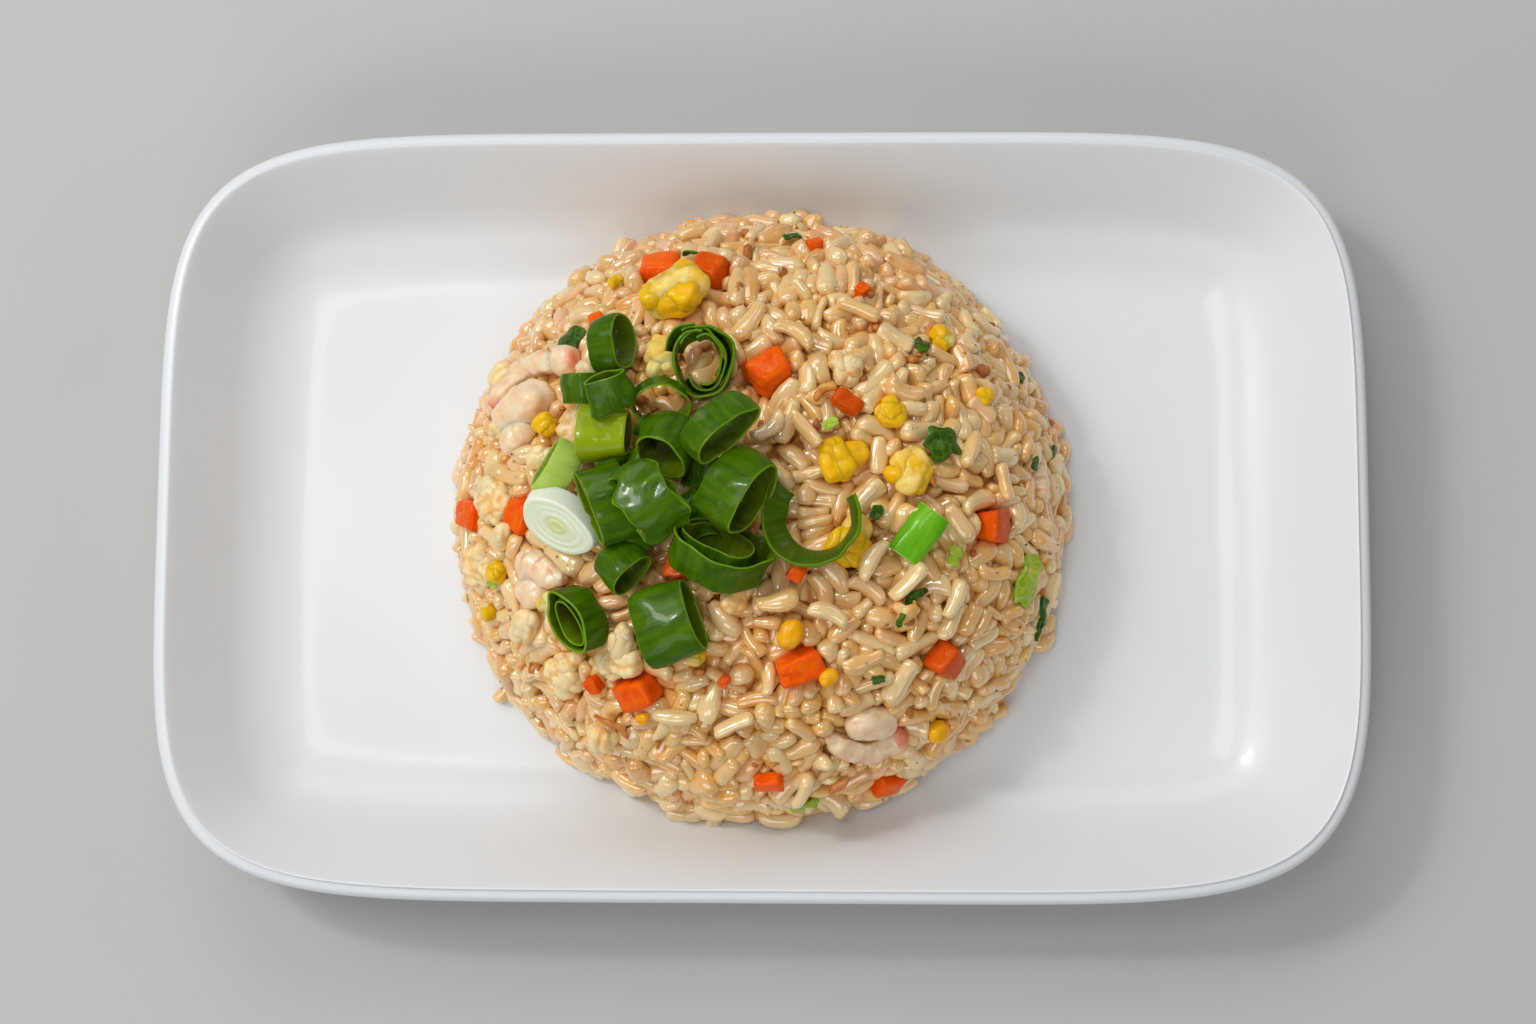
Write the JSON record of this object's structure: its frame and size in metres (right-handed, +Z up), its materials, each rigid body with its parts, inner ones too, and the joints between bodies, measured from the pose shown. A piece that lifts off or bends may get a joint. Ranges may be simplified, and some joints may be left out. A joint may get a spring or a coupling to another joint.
{
  "type": "fried rice plate",
  "caption": "Oblong white plate with a raised wall, holding a domed heap of fried rice with scallion rings, carrot dice, egg, shrimp and leaf pieces.",
  "frame": {"origin": "middle of the plate's foot, on the table", "axes": "+Z up, +X along the plate's length, +Y across the plate towards its far long side"},
  "size_m": [0.26, 0.1666, 0.0691],
  "materials": {
    "porcelain": "smooth white glaze",
    "rice": "moist cooked grain",
    "green": "wet leaf",
    "light_green": "wet leaf",
    "olive_green": "wet leaf",
    "white_stalk": "wet cut stalk",
    "carrot": "glossy cooked carrot",
    "egg": "soft scrambled egg",
    "shrimp": "moist cooked shrimp",
    "browned": "crumbly and browned",
    "leaf": "wet dark leaf",
    "cabbage": "wet pale leaf"
  },
  "bodies": {
    "root": {"browned_piece_01": "browned", "browned_piece_02": "browned", "browned_piece_03": "browned", "browned_piece_04": "browned", "browned_piece_05": "browned", "browned_piece_06": "browned", "carrot_01": "carrot", "carrot_02": "carrot", "carrot_03": "carrot", "carrot_04": "carrot", "carrot_05": "carrot", "carrot_06": "carrot", "carrot_07": "carrot", "carrot_08": "carrot", "carrot_09": "carrot", "carrot_10": "carrot", "dark_leaf_01": "leaf", "dark_leaf_02": "leaf", "egg_01": "egg", "egg_02": "egg", "egg_03": "egg", "egg_04": "egg", "egg_05": "egg", "egg_06": "egg", "egg_07": "egg", "pale_leaf": "cabbage", "plate": "porcelain", "rice": "rice", "scallion_01": "green", "scallion_02": "green", "scallion_03": "green", "scallion_04": "olive_green", "scallion_05": "light_green", "scallion_06": "light_green", "scallion_07": "green", "scallion_08": "green", "scallion_09": "green", "scallion_10": "green", "scallion_11": "green", "scallion_12": "green", "scallion_13": "green", "scallion_14": "green", "scallion_15": "green", "scallion_16": "green", "scallion_17": "green", "shrimp_01": "shrimp", "shrimp_02": "shrimp", "shrimp_03": "shrimp", "shrimp_04": "shrimp", "stalk_slice_01": "white_stalk", "stalk_slice_02": "light_green"}
  },
  "joints": []
}
